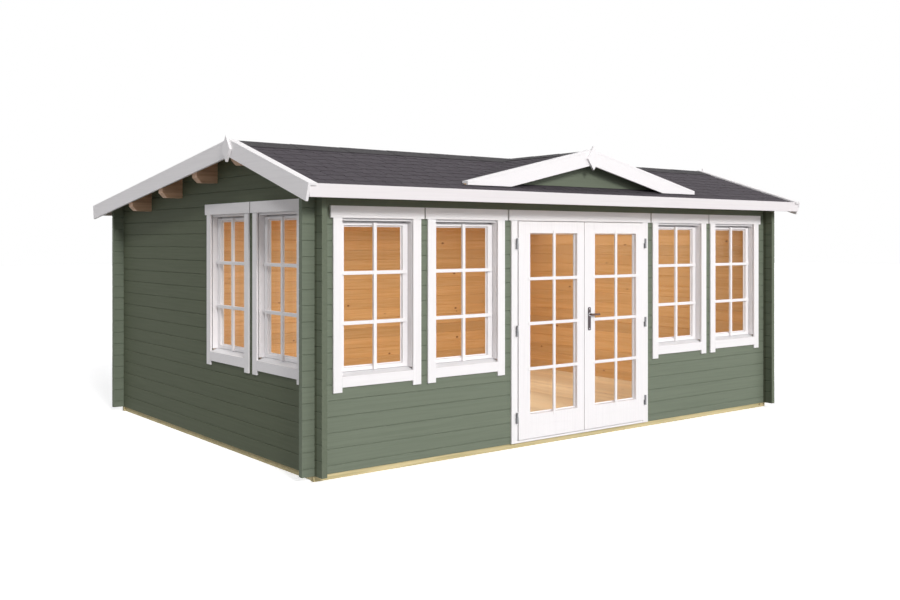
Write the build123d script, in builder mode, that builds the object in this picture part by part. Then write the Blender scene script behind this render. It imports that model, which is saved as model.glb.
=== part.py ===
"""A log cabin, 5.5 m by 4 m over the log ends, with a double door, six casement windows and an offset ridge.

Millimetres, +Z up, the ground at z = 0. +X runs to the right along the front, which faces -Y. The origin is on the
ground in the middle of the walls.
"""

import math
import os

from build123d import *

os.makedirs("parts", exist_ok=True)

# Walls
wall_length = 5300.0  # along the front, over the outer faces of the side walls
wall_depth = 3800.0
log_thickness = 44.0
log_pitch = 114.0  # height of one log
log_end = 100.0  # how far crossing logs stand out past a corner
groove_depth = 5.0
groove_height = 9.0

# Base and floor
beam_height = 45.0
beam_width = 45.0
beam_setback = 15.0
bearer_count = 7
floor_thickness = 19.0
floor_gap = 3.0

# Roof: heights are those of the top of the roof boards
ridge_height = 2456.0
ridge_from_front = 960.0  # from the front wall's outer face back to the ridge
front_fall = 0.3176  # rise over run
rear_fall = 0.138
roof_board = 20.0  # every roof layer is measured upright
covering = 8.0
eave_overhang = 230.0
gable_overhang = 182.0
fascia_height = 94.0
fascia_thickness = 20.0
fascia_lip = 14.0
barge_height = 116.0
barge_thickness = 20.0
barge_past_fascia = 12.0
cap_width = 70.0
cap_thickness = 20.0
mitre_gap = 0.5
purlin_width = 90.0
purlin_height = 166.0
purlin_spacing = 719.0
purlin_bevel = 42.0
ridge_purlin_offset = -51.0  # its middle lies this far in front of the ridge
ridge_purlin_bottom = 2274.0

# Small gable over the door
dormer_half_width = 1364.0
dormer_fall = 0.2317
dormer_front = 116.0  # how far its barge boards stand in front of the wall
dormer_foot = 915.0  # where the boards' lower edge meets the roof
dormer_panel = 20.0
finial_width = 140.0
finial_height = 207.0
finial_waist = 96.0  # height of the widest point over the lower tip
finial_above_ridge = 48.0
finial_thickness = 20.0

# Windows: their places along the walls follow from the width of the head boards over them
opening_bottom = 672.0
trim_opening = 622.0  # clear width between a window's side trims
trim_width = 75.0
trim_lap = 19.0  # how far a trim passes the edge of the hole in the wall
trim_proud = 15.0
trim_bottom = 613.0
apron_bottom = 648.0
apron_top = 726.0
head_board_bottom = 1861.0
head_board_height = 87.0
head_board_ends = 25.0  # how far it passes the trims
head_board_proud = 20.0
head_board_gap = 14.0  # between the head boards of neighbouring windows
door_head_gap = 17.0
side_head_start = 131.0  # from the front wall to the first head board of the side
side_window_rise = 51.0  # how much higher the side windows stand than the front ones
jamb_reveal = 3.0  # how far a jamb stands inside its trim
frame_depth = 92.0
frame_setback = 6.0
frame_head_bottom = 1843.0
sill_back_height = 747.0
sash_setback = 51.0
sash_depth = 36.0
sash_play = 3.0
sash_top = 1829.0
sash_stile = 45.0
sash_bottom_rail = 28.0
sash_top_rail = 19.0
stop_lap = 9.0  # how far the frame's stop reaches behind the sash
glass_thickness = 6.0
glass_setback = 20.0
glass_seat = 6.0  # how far a pane reaches into its rebate

# Door
door_frame_width = 1652.0
door_post_face = 65.0
door_post_cover = 26.0  # the part of a post's face that laps over the wall
door_gap = 6.0
meeting_gap = 6.0
threshold_top = 62.0
leaf_thickness = 44.0
leaf_proud = 22.0
leaf_bottom_rail = 198.0
leaf_top_rail = 96.0
door_glass_setback = 31.0
door_stop = 20.0  # how far the frame's stop stands into the opening
door_stop_gap = 5.5  # between the leaves' backs and the stop
fixed_leaf_stile = 126.0  # stile on the hinge side
fixed_leaf_pane = 543.0
opening_leaf_stile = 97.0
opening_leaf_pane = 528.0
door_head_ends = 29.0  # how far its head board passes the frame

# Ironmongery
knuckle_radius = 8.0
knuckle_length = 43.5
knuckle_gap = 0.4
pin_radius = 4.0
pin_length = 36.0
pin_clearance = 0.3
hinge_leaf_thickness = 2.0
hinge_leaf_width = 14.0
hinge_heights = (252.0, 961.0, 1672.0)
hinge_from_post_edge = 16.0
plate_width = 33.0
plate_height = 200.0
plate_thickness = 5.0
plate_bottom = 922.0
plate_from_meeting_edge = 56.0
spindle_height = 1060.0
spindle_width = 8.0
spindle_clearance = 1.5
lever_length = 90.0
lever_reach = 42.0
lever_height = 18.0
lever_thickness = 12.0
lever_neck_radius = 10.0

front = -wall_depth / 2  # outer face of the front wall
rear = wall_depth / 2
left = -wall_length / 2
right = wall_length / 2
ridge_y = front + ridge_from_front
wall_inner_length = wall_length - 2 * log_thickness
wall_inner_depth = wall_depth - 2 * log_thickness
base = beam_height
long_wall_joint = base + log_pitch / 2  # the front and rear walls start with half a log
side_wall_joint = base + log_pitch


def joint_above(height, first_joint):
    """The lowest joint at or over a height, in a wall that has its first joint at first_joint."""
    return first_joint + math.ceil((height - first_joint) / log_pitch) * log_pitch


opening_top_front = joint_above(head_board_bottom, long_wall_joint)
opening_bottom_side = joint_above(opening_bottom, side_wall_joint)
opening_top_side = joint_above(head_board_bottom + side_window_rise, side_wall_joint)
roof_reach = 2 * wall_length
roof_ceiling = 2 * ridge_height

wall_opening = trim_opening + 2 * trim_lap
jamb_clear = trim_opening - 2 * jamb_reveal
sash_width = jamb_clear - 2 * sash_play
sash_bottom = sill_back_height + sash_play
sash_back = sash_setback + sash_depth
frame_inside = frame_setback + frame_depth
stop_bottom = sash_bottom + stop_lap
stop_top = sash_top - stop_lap
head_board_width = trim_opening + 2 * trim_width + 2 * head_board_ends
door_head_width = door_frame_width + 2 * door_head_ends
window_step = head_board_width + head_board_gap
inner_window = door_head_width / 2 + door_head_gap + head_board_width / 2
outer_window = inner_window + window_step
side_window_first = side_head_start + head_board_width / 2
side_window_second = side_window_first + window_step


def roof_height(y, drop=0.0):
    """Height of the roof boards' top at y, less a drop."""
    fall = front_fall if y < ridge_y else rear_fall
    return ridge_height - fall * abs(y - ridge_y) - drop


def dormer_height(x, drop=0.0):
    """The same over the small gable, whose ridge is as high and crosses it at right angles."""
    return ridge_height - dormer_fall * abs(x) - drop


def save(part, name):
    part.label = name
    export_step(part, f"parts/{name}.step")


def box_between(x0, x1, y0, y1, z0, z1):
    """A block given by its faces, added to the part being built."""
    with Locations(((x0 + x1) / 2, (y0 + y1) / 2, (z0 + z1) / 2)):
        Box(x1 - x0, y1 - y0, z1 - z0)


def solid_box(x0, x1, y0, y1, z0, z1):
    with BuildPart() as block:
        box_between(x0, x1, y0, y1, z0, z1)
    return block.part


# Space over the underside of the roof boards, which the walls' tops are cut to
with BuildPart() as over_boards:
    with BuildSketch(Plane.YZ.offset(-roof_reach)):
        with BuildLine():
            Polyline(
                (-roof_reach, roof_height(-roof_reach, roof_board)),
                (ridge_y, roof_height(ridge_y, roof_board)),
                (roof_reach, roof_height(roof_reach, roof_board)),
                (roof_reach, roof_ceiling),
                (-roof_reach, roof_ceiling),
                close=True,
            )
        make_face()
    extrude(amount=2 * roof_reach)

# Purlins carry the roof boards. Each passes through both gable walls, and its ends are bevelled below.
purlin_ends = right + gable_overhang


def purlin(middle, bottom):
    """One purlin, with its top cut to the roof boards."""
    with BuildPart() as beam:
        with BuildSketch(Plane.XZ.offset(-middle - purlin_width / 2)):
            with BuildLine():
                Polyline(
                    (-purlin_ends, roof_ceiling),
                    (-purlin_ends, bottom + purlin_bevel),
                    (-purlin_ends + purlin_bevel, bottom),
                    (purlin_ends - purlin_bevel, bottom),
                    (purlin_ends, bottom + purlin_bevel),
                    (purlin_ends, roof_ceiling),
                    close=True,
                )
            make_face()
        extrude(amount=purlin_width)
        add(over_boards.part, mode=Mode.SUBTRACT)
    return beam.part


ridge_purlin_y = ridge_y + ridge_purlin_offset
ridge_purlin = purlin(ridge_purlin_y, ridge_purlin_bottom)
side_purlin_rows = [ridge_purlin_y + step * purlin_spacing for step in (1, 2, 3)]
with BuildPart() as side_purlins:
    for row in side_purlin_rows:
        under_boards = min(roof_height(row - purlin_width / 2), roof_height(row + purlin_width / 2))
        add(purlin(row, under_boards - roof_board - purlin_height))
save(ridge_purlin, "ridge_purlin")
save(side_purlins.part, "side_purlins")


# Log walls
def log_outline(bottom, top, first_joint):
    """Points of a stack of logs across its thickness, from 0 to log_thickness, with a V groove at each joint."""
    joints = []
    joint = first_joint
    while joint < top + 1:
        if joint > bottom - 1:
            joints.append(joint)
        joint += log_pitch
    half = groove_height / 2
    outer = []
    if not (joints and abs(joints[0] - bottom) < 1):
        outer.append((0, bottom))
    for joint in joints:
        if joint - half > bottom:
            outer.append((0, joint - half))
        outer.append((groove_depth, joint))
        if joint + half < top:
            outer.append((0, joint + half))
    if not (joints and abs(joints[-1] - top) < 1):
        outer.append((0, top))
    inner = [(log_thickness - across, height) for across, height in reversed(outer)]
    return outer + inner


def crossing_bands(bottom, top, of_long_walls):
    """Heights between which the logs of the long walls, or of the side walls, fill a corner."""
    half = log_pitch / 2
    step = base - 3 * half / 2
    bands = []
    long_turn = True
    while step < top:
        low = max(step, bottom)
        high = min(step + half, top)
        if long_turn == of_long_walls and high > low:
            bands.append((low, high))
        step += half
        long_turn = not long_turn
    return bands


def long_wall(x0, x1, outer_face, bottom, top):
    """Part of the front or rear wall from x0 to x1, without the side walls' share of the corners."""
    inward = 1 if outer_face < 0 else -1
    points = [(outer_face + inward * across, height) for across, height in log_outline(bottom, top, long_wall_joint)]
    with BuildPart() as wall:
        with BuildSketch(Plane.YZ.offset(x0)):
            with BuildLine():
                Polyline(*points, close=True)
            make_face()
        extrude(amount=x1 - x0)
        add(over_boards.part, mode=Mode.SUBTRACT)
        for corner in (left, right - log_thickness):
            if x0 < corner + log_thickness and x1 > corner:
                for low, high in crossing_bands(bottom, top, of_long_walls=False):
                    add(
                        solid_box(corner, corner + log_thickness, outer_face - wall_depth / 2,
                                  outer_face + wall_depth / 2, low, high),
                        mode=Mode.SUBTRACT,
                    )
    return wall.part


def side_wall(y0, y1, outer_face, bottom, top):
    """Part of the left or right wall from y0 to y1, without the long walls' share of the corners."""
    inward = 1 if outer_face < 0 else -1
    points = [(outer_face + inward * across, height) for across, height in log_outline(bottom, top, side_wall_joint)]
    with BuildPart() as wall:
        with BuildSketch(Plane.XZ.offset(-y0)):
            with BuildLine():
                Polyline(*points, close=True)
            make_face()
        extrude(amount=-(y1 - y0))
        add(over_boards.part, mode=Mode.SUBTRACT)
        for corner in (front, rear - log_thickness):
            if y0 < corner + log_thickness and y1 > corner:
                for low, high in crossing_bands(bottom, top, of_long_walls=True):
                    add(
                        solid_box(outer_face - wall_length / 2, outer_face + wall_length / 2,
                                  corner, corner + log_thickness, low, high),
                        mode=Mode.SUBTRACT,
                    )
        add(ridge_purlin, mode=Mode.SUBTRACT)
        add(side_purlins.part, mode=Mode.SUBTRACT)
    return wall.part


long_end = right + log_end
side_end = rear + log_end
door_opening = door_frame_width - 2 * door_post_cover
eave_top = roof_height(ridge_y)
half_opening = wall_opening / 2
window_middles = (-outer_window, -inner_window, inner_window, outer_window)
side_window_middles = (front + side_window_first, front + side_window_second)

save(
    long_wall(-long_end, -door_opening / 2, front, base, opening_bottom),
    "front_wall_below_left_windows",
)
save(
    long_wall(door_opening / 2, long_end, front, base, opening_bottom),
    "front_wall_below_right_windows",
)
pier_spans = (
    (-long_end, -outer_window - half_opening),
    (-outer_window + half_opening, -inner_window - half_opening),
    (-inner_window + half_opening, -door_opening / 2),
    (door_opening / 2, inner_window - half_opening),
    (inner_window + half_opening, outer_window - half_opening),
    (outer_window + half_opening, long_end),
)
with BuildPart() as front_wall_piers:
    for start, stop in pier_spans:
        add(long_wall(start, stop, front, opening_bottom, opening_top_front))
save(front_wall_piers.part, "front_wall_piers")
save(long_wall(-long_end, long_end, front, opening_top_front, eave_top), "front_wall_top_logs")
save(long_wall(-long_end, long_end, rear, base, eave_top), "rear_wall")

save(side_wall(-side_end, side_end, left, base, opening_bottom_side), "left_wall_below_windows")
side_spans = (
    (-side_end, side_window_middles[0] - half_opening),
    (side_window_middles[0] + half_opening, side_window_middles[1] - half_opening),
    (side_window_middles[1] + half_opening, side_end),
)
with BuildPart() as left_wall_piers:
    for start, stop in side_spans:
        add(side_wall(start, stop, left, opening_bottom_side, opening_top_side))
save(left_wall_piers.part, "left_wall_piers")
save(side_wall(-side_end, side_end, left, opening_top_side, eave_top), "left_gable_wall")
save(side_wall(-side_end, side_end, right, base, eave_top), "right_gable_wall")

# Base: four beams under the walls, bearers between them, and the floor boards
with BuildPart() as foundation_beams:
    for side in (-1, 1):
        with Locations((0, side * (rear - beam_setback - beam_width / 2), beam_height / 2)):
            Box(wall_length, beam_width, beam_height)
        side_beam = wall_depth - 2 * (beam_setback + beam_width + mitre_gap)
        with Locations((side * (right - beam_setback - beam_width / 2), 0, beam_height / 2)):
            Box(beam_width, side_beam, beam_height)
save(foundation_beams.part, "foundation_beams")

bearer_length = wall_length - 2 * (beam_setback + beam_width + mitre_gap)
bearer_spacing = (wall_depth - 2 * beam_setback - beam_width) / (bearer_count + 1)
with BuildPart() as floor_bearers:
    with Locations((0, 0, beam_height / 2)):
        with GridLocations(0, bearer_spacing, 1, bearer_count):
            Box(bearer_length, beam_width, beam_height)
save(floor_bearers.part, "floor_bearers")
save(
    solid_box(
        -wall_inner_length / 2 + floor_gap,
        wall_inner_length / 2 - floor_gap,
        -wall_inner_depth / 2 + floor_gap,
        wall_inner_depth / 2 - floor_gap,
        base,
        base + floor_thickness,
    ),
    "floor_boards",
)

# Roof boards and covering
eave_front = front - eave_overhang
eave_rear = rear + eave_overhang
gable_edge = right + gable_overhang
covering_edge = right + gable_overhang + barge_thickness - cap_width


def roof_layer(half_length, y0, y1, low, high):
    """A sheet of one slope from y0 to y1, between two heights over the roof boards' top."""
    with BuildPart() as sheet:
        with BuildSketch(Plane.YZ.offset(-half_length)):
            with BuildLine():
                Polyline(
                    (y0, slope_height(y0, y1, y0, low)),
                    (y1, slope_height(y0, y1, y1, low)),
                    (y1, slope_height(y0, y1, y1, high)),
                    (y0, slope_height(y0, y1, y0, high)),
                    close=True,
                )
            make_face()
        extrude(amount=2 * half_length)
    return sheet.part


def slope_height(y0, y1, y, above):
    """Height on the slope that holds the middle of y0 to y1, so that it stays right past the ridge."""
    fall = front_fall if (y0 + y1) / 2 < ridge_y else -rear_fall
    return ridge_height + fall * (y - ridge_y) + above


save(roof_layer(gable_edge, eave_front, ridge_y, -roof_board, 0), "front_roof_boards")
save(roof_layer(gable_edge, ridge_y, eave_rear, -roof_board, 0), "rear_roof_boards")
save(roof_layer(covering_edge, eave_front, ridge_y, 0, covering), "front_roof_covering")
save(roof_layer(covering_edge, ridge_y, eave_rear, 0, covering), "rear_roof_covering")

# Small gable over the door. Its roof runs back level from the front until it meets the main roof.
dormer_y = front - dormer_front  # front face of its barge boards
dormer_roof_front = dormer_y + barge_thickness
with BuildPart() as under_covering:
    with BuildSketch(Plane.YZ.offset(-roof_reach)):
        with BuildLine():
            Polyline(
                (-roof_reach, roof_height(-roof_reach, -covering)),
                (ridge_y, roof_height(ridge_y, -covering)),
                (ridge_y, -roof_reach),
                (-roof_reach, -roof_reach),
                close=True,
            )
        make_face()
    extrude(amount=2 * roof_reach)


def dormer_layer(side, start, stop, low, high, y0, y1):
    """A sheet of the small gable's roof on one side, from start to stop from its middle, over the main roof."""
    with BuildPart() as sheet:
        with BuildSketch(Plane.XZ.offset(-y0)):
            with BuildLine():
                Polyline(
                    (side * start, dormer_height(start, -low)),
                    (side * stop, dormer_height(stop, -low)),
                    (side * stop, dormer_height(stop, -high)),
                    (side * start, dormer_height(start, -high)),
                    close=True,
                )
            make_face()
        extrude(amount=-(y1 - y0))
        add(under_covering.part, mode=Mode.SUBTRACT)
    return sheet.part


cap_back = dormer_y + cap_width
with BuildPart() as dormer_roof_boards:
    for side in (-1, 1):
        add(dormer_layer(side, mitre_gap / 2, dormer_half_width, -roof_board, 0, dormer_roof_front, ridge_y))
save(dormer_roof_boards.part, "dormer_roof_boards")
with BuildPart() as dormer_roof_covering:
    for side in (-1, 1):
        add(dormer_layer(side, mitre_gap / 2, dormer_half_width, 0, covering, cap_back, ridge_y))
save(dormer_roof_covering.part, "dormer_roof_covering")
with BuildPart() as dormer_panel_part:
    with BuildSketch(Plane.XZ.offset(-front)):
        with BuildLine():
            Polyline(
                (-dormer_half_width, dormer_height(dormer_half_width, roof_board)),
                (0, dormer_height(0, roof_board)),
                (dormer_half_width, dormer_height(dormer_half_width, roof_board)),
                (dormer_half_width, 0),
                (-dormer_half_width, 0),
                close=True,
            )
        make_face()
    extrude(amount=-dormer_panel)
    add(under_covering.part, mode=Mode.SUBTRACT)
save(dormer_panel_part.part, "dormer_gable_panel")


# Barge boards and the caps over them, on the gables and on the small gable
def gable_profile(eave_end, ridge_end, low, high):
    """Outline of a gable board between two heights over the roof boards' top.

    It is cut square at the eave and upright at the ridge.
    """
    fall = front_fall if eave_end < ridge_end else -rear_fall
    square = fall / (1 + fall**2)
    low_end = eave_end - square * low
    high_end = eave_end - square * high
    return [
        (low_end, slope_height(eave_end, ridge_end, low_end, low)),
        (ridge_end, slope_height(eave_end, ridge_end, ridge_end, low)),
        (ridge_end, slope_height(eave_end, ridge_end, ridge_end, high)),
        (high_end, slope_height(eave_end, ridge_end, high_end, high)),
    ]


def gable_board(points, x0, x1):
    with BuildPart() as board:
        with BuildSketch(Plane.YZ.offset(x0)):
            with BuildLine():
                Polyline(*points, close=True)
            make_face()
        extrude(amount=x1 - x0)
    return board.part


barge_front = eave_front - fascia_thickness - barge_past_fascia
barge_rear = eave_rear + fascia_thickness + barge_past_fascia
halves = ((barge_front, ridge_y - mitre_gap / 2), (barge_rear, ridge_y + mitre_gap / 2))
barge_outer = gable_edge + barge_thickness


def dormer_board(side, y0, y1, low, high, trimmed):
    """A board of the small gable. A trimmed one is cut level where it stands on the main roof."""
    foot = dormer_height(dormer_foot, -low)
    with BuildPart() as board:
        with BuildSketch(Plane.XZ.offset(-y0)):
            with BuildLine():
                Polyline(
                    (side * mitre_gap / 2, dormer_height(0, -low)),
                    (side * dormer_half_width, dormer_height(dormer_half_width, -low)),
                    (side * dormer_half_width, dormer_height(dormer_half_width, -high)),
                    (side * mitre_gap / 2, dormer_height(0, -high)),
                    close=True,
                )
            make_face()
        extrude(amount=-(y1 - y0))
        if trimmed:
            box = solid_box(-dormer_half_width, dormer_half_width, y0, y1, 0, foot)
            add(box, mode=Mode.SUBTRACT)
        add(under_covering.part, mode=Mode.SUBTRACT)
    return board.part


with BuildPart() as barge_boards:
    for eave_end, ridge_end in halves:
        profile = gable_profile(eave_end, ridge_end, -barge_height, 0)
        add(gable_board(profile, -barge_outer, -gable_edge))
        add(gable_board(profile, gable_edge, barge_outer))
    for side in (-1, 1):
        add(dormer_board(side, dormer_y, dormer_roof_front, -barge_height, 0, True))
save(barge_boards.part, "barge_boards")
with BuildPart() as barge_caps:
    for eave_end, ridge_end in halves:
        profile = gable_profile(eave_end, ridge_end, 0, cap_thickness)
        add(gable_board(profile, -barge_outer, -covering_edge))
        add(gable_board(profile, covering_edge, barge_outer))
    for side in (-1, 1):
        add(dormer_board(side, dormer_y, cap_back, 0, cap_thickness, False))
save(barge_caps.part, "barge_caps")

# Fascias close the eaves, between the two gables' barge boards and notched under their caps
with BuildPart() as eave_fascias:
    for eave, outward in ((eave_front, -1), (eave_rear, 1)):
        top = roof_height(eave + outward * fascia_thickness) + fascia_lip
        with Locations((0, eave + outward * fascia_thickness / 2, top - fascia_height / 2)):
            Box(2 * gable_edge, fascia_thickness, fascia_height)
    add(barge_caps.part, mode=Mode.SUBTRACT)
save(eave_fascias.part, "eave_fascias")

# Finials: pointed boards over the barge boards' mitres
finial_tip = ridge_height + finial_above_ridge
finial_foot = finial_tip - finial_height


def finial_points(middle):
    waist = finial_foot + finial_waist
    return [
        (middle, finial_foot),
        (middle + finial_width / 2, waist),
        (middle, finial_tip),
        (middle - finial_width / 2, waist),
    ]


with BuildPart() as finials:
    add(gable_board(finial_points(ridge_y), -barge_outer - finial_thickness, -barge_outer))
    add(gable_board(finial_points(ridge_y), barge_outer, barge_outer + finial_thickness))
    with BuildSketch(Plane.XZ.offset(-(dormer_y - finial_thickness))):
        with BuildLine():
            Polyline(*finial_points(0), close=True)
        make_face()
    extrude(amount=-finial_thickness)
save(finials.part, "finials")


# Windows are drawn on the front wall, with the middle at x = 0 and the wall's outer face at y = 0, then set in place
def window_side_trim(side):
    edge = trim_opening / 2
    return solid_box(
        min(side * edge, side * (edge + trim_width)),
        max(side * edge, side * (edge + trim_width)),
        -trim_proud,
        0,
        trim_bottom,
        head_board_bottom,
    )


def window_apron():
    return solid_box(-trim_opening / 2, trim_opening / 2, -trim_proud, 0, apron_bottom, apron_top)


def head_board(width):
    top = head_board_bottom + head_board_height
    return solid_box(-width / 2, width / 2, -head_board_proud, 0, head_board_bottom, top)


def window_jamb(side, top):
    """An upright of the frame, with the stop that the sash's side closes against."""
    inner = jamb_clear / 2
    with BuildPart() as jamb:
        x0, x1 = sorted((side * inner, side * half_opening))
        box_between(x0, x1, frame_setback, frame_inside, sill_back_height, top)
        x0, x1 = sorted((side * (sash_width / 2 - stop_lap), side * inner))
        box_between(x0, x1, sash_back, frame_inside, stop_bottom, stop_top)
    return jamb.part


def window_frame_head(top):
    inner = jamb_clear / 2
    with BuildPart() as head:
        box_between(-inner, inner, frame_setback, frame_inside, frame_head_bottom, top)
        box_between(-inner, inner, sash_back, frame_inside, stop_top, frame_head_bottom)
    return head.part


def window_sill(bottom):
    """A sill that falls from the sash to the apron's top, with a stop behind the sash."""
    inner = jamb_clear / 2
    with BuildPart() as sill:
        with BuildSketch(Plane.YZ.offset(-half_opening)):
            with BuildLine():
                Polyline(
                    (0, bottom),
                    (frame_inside, bottom),
                    (frame_inside, sill_back_height),
                    (sash_setback, sill_back_height),
                    (0, apron_top),
                    close=True,
                )
            make_face()
        extrude(amount=wall_opening)
        box_between(-inner, inner, sash_back, frame_inside, sill_back_height, stop_bottom)
    return sill.part


def window_sash():
    """The sash's four members as one frame, rebated from the inside for its pane."""
    pane_low = sash_bottom + sash_bottom_rail
    pane_high = sash_top - sash_top_rail
    pane_half = sash_width / 2 - sash_stile
    glass_back = glass_setback + glass_thickness
    with BuildPart() as sash:
        box_between(-sash_width / 2, sash_width / 2, sash_setback, sash_back, sash_bottom, sash_top)
        add(
            solid_box(-pane_half, pane_half, sash_setback, sash_back, pane_low, pane_high),
            mode=Mode.SUBTRACT,
        )
        add(
            solid_box(
                -pane_half - glass_seat,
                pane_half + glass_seat,
                sash_setback + glass_setback,
                sash_setback + glass_back,
                pane_low - glass_seat,
                pane_high + glass_seat,
            ),
            mode=Mode.SUBTRACT,
        )
    return sash.part


def window_pane():
    pane_half = sash_width / 2 - sash_stile + glass_seat
    return solid_box(
        -pane_half,
        pane_half,
        sash_setback + glass_setback,
        sash_setback + glass_setback + glass_thickness,
        sash_bottom + sash_bottom_rail - glass_seat,
        sash_top - sash_top_rail + glass_seat,
    )


def in_front(part, middle):
    return part.moved(Location((middle, front, 0)))


def in_left_wall(part, middle):
    return part.moved(Location((left, middle, side_window_rise), (0, 0, -90)))


window_pieces = {
    "window_side_trims": lambda bottom, top: [window_side_trim(-1), window_side_trim(1)],
    "window_aprons": lambda bottom, top: [window_apron()],
    "window_jambs": lambda bottom, top: [window_jamb(-1, top), window_jamb(1, top)],
    "window_frame_heads": lambda bottom, top: [window_frame_head(top)],
    "window_sills": lambda bottom, top: [window_sill(bottom)],
    "window_sashes": lambda bottom, top: [window_sash()],
    "window_glass": lambda bottom, top: [window_pane()],
}
side_opening = (opening_bottom_side - side_window_rise, opening_top_side - side_window_rise)
for name, pieces in window_pieces.items():
    with BuildPart() as group:
        for middle in window_middles:
            for piece in pieces(opening_bottom, opening_top_front):
                add(in_front(piece, middle))
        for middle in side_window_middles:
            for piece in pieces(*side_opening):
                add(in_left_wall(piece, middle))
    save(group.part, name)
with BuildPart() as head_boards:
    for middle in window_middles:
        add(in_front(head_board(head_board_width), middle))
    for middle in side_window_middles:
        add(in_left_wall(head_board(head_board_width), middle))
    add(in_front(head_board(door_head_width), 0))
save(head_boards.part, "head_boards")

# Door frame: two posts that lap over the wall, a head and a threshold, all with a stop behind the leaves
frame_front = front - trim_proud
frame_back = front + log_thickness
post_inner = door_frame_width / 2 - door_post_face
leaf_front = front - leaf_proud
leaf_back = leaf_front + leaf_thickness
door_stop_front = leaf_back + door_stop_gap
stop_inner = post_inner - door_stop
with BuildPart() as door_frame_posts:
    for side in (-1, 1):
        x0, x1 = sorted((side * post_inner, side * door_frame_width / 2))
        box_between(x0, x1, frame_front, front, base, head_board_bottom)
        x0, x1 = sorted((side * post_inner, side * door_opening / 2))
        box_between(x0, x1, front, frame_back, base, opening_top_front)
        x0, x1 = sorted((side * stop_inner, side * post_inner))
        box_between(x0, x1, door_stop_front, frame_back, threshold_top, head_board_bottom)
save(door_frame_posts.part, "door_frame_posts")
with BuildPart() as door_frame_head:
    box_between(-post_inner, post_inner, front, frame_back, head_board_bottom, opening_top_front)
    stop_under_head = head_board_bottom - door_stop
    box_between(-stop_inner, stop_inner, door_stop_front, frame_back, stop_under_head, head_board_bottom)
save(door_frame_head.part, "door_frame_head")
with BuildPart() as door_threshold:
    box_between(-post_inner, post_inner, frame_front, frame_back, base, threshold_top)
    box_between(-stop_inner, stop_inner, door_stop_front, frame_back, threshold_top, threshold_top + door_stop)
save(door_threshold.part, "door_threshold")

# Door leaves. Each turns on the line of its knuckles, in front of its post.
leaf_bottom = threshold_top + door_gap
leaf_top = head_board_bottom - door_gap
leaf_edge = post_inner - door_gap
hinge_x = post_inner + hinge_from_post_edge
hinge_y = leaf_front - knuckle_radius
pane_low = leaf_bottom + leaf_bottom_rail
pane_high = leaf_top - leaf_top_rail
glass_front = leaf_front + door_glass_setback


def door_leaf(side, stile, pane_width):
    """One leaf, with a groove round its opening that the glass sits in."""
    outer = side * leaf_edge
    inner = side * meeting_gap / 2
    pane_outer = side * (leaf_edge - stile)
    pane_inner = side * (leaf_edge - stile - pane_width)
    x0, x1 = sorted((outer, inner))
    p0, p1 = sorted((pane_outer, pane_inner))
    with BuildPart() as leaf:
        box_between(x0, x1, leaf_front, leaf_back, leaf_bottom, leaf_top)
        add(solid_box(p0, p1, leaf_front, leaf_back, pane_low, pane_high), mode=Mode.SUBTRACT)
        add(
            solid_box(
                p0 - glass_seat,
                p1 + glass_seat,
                glass_front,
                glass_front + glass_thickness,
                pane_low - glass_seat,
                pane_high + glass_seat,
            ),
            mode=Mode.SUBTRACT,
        )
    pane = solid_box(
        p0 - glass_seat,
        p1 + glass_seat,
        glass_front,
        glass_front + glass_thickness,
        pane_low - glass_seat,
        pane_high + glass_seat,
    )
    return leaf.part, pane


handle_x = meeting_gap / 2 + plate_from_meeting_edge
left_leaf, left_pane = door_leaf(-1, fixed_leaf_stile, fixed_leaf_pane)
right_leaf, right_pane = door_leaf(1, opening_leaf_stile, opening_leaf_pane)
bore = spindle_width / 2 * math.sqrt(2) + spindle_clearance
with BuildPart() as right_leaf_bored:
    add(right_leaf)
    with BuildSketch(Plane.XZ.offset(-leaf_front)):
        with Locations((handle_x, spindle_height)):
            Circle(bore)
    extrude(amount=-leaf_thickness, mode=Mode.SUBTRACT)
save(left_leaf, "left_door_leaf")
save(left_pane, "left_door_glass")
save(right_leaf_bored.part, "right_door_leaf")
save(right_pane, "right_door_glass")


# Hinges: a lower knuckle with a pin on the post, and an upper knuckle with an arm on the leaf
def hinge_on_post(side, middle):
    with BuildPart() as half:
        with BuildSketch(Plane.XY.offset(middle - knuckle_length)):
            with Locations((side * hinge_x, hinge_y)):
                Circle(knuckle_radius)
        extrude(amount=knuckle_length - knuckle_gap)
        with BuildSketch(Plane.XY.offset(middle - knuckle_gap)):
            with Locations((side * hinge_x, hinge_y)):
                Circle(pin_radius)
        extrude(amount=pin_length)
        x0 = side * hinge_x - knuckle_radius
        box_between(
            x0, x0 + 2 * knuckle_radius, hinge_y, frame_front, middle - knuckle_length, middle - knuckle_gap
        )
    return half.part


def hinge_on_leaf(side, middle):
    with BuildPart() as half:
        with BuildSketch(Plane.XY.offset(middle)):
            with Locations((side * hinge_x, hinge_y)):
                Circle(knuckle_radius)
        extrude(amount=knuckle_length)
        x0, x1 = sorted((side * hinge_x, side * (leaf_edge - hinge_leaf_width)))
        box_between(x0, x1, leaf_front - hinge_leaf_thickness, leaf_front, middle, middle + knuckle_length)
        with BuildSketch(Plane.XY.offset(middle)):
            with Locations((side * hinge_x, hinge_y)):
                Circle(pin_radius + pin_clearance)
        extrude(amount=pin_length + pin_clearance, mode=Mode.SUBTRACT)
    return half.part


with BuildPart() as door_frame_hinges:
    for side in (-1, 1):
        for height in hinge_heights:
            add(hinge_on_post(side, height))
save(door_frame_hinges.part, "door_frame_hinges")
for side, name in ((-1, "left_door_hinges"), (1, "right_door_hinges")):
    with BuildPart() as leaf_hinges:
        for height in hinge_heights:
            add(hinge_on_leaf(side, height))
    save(leaf_hinges.part, name)

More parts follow.
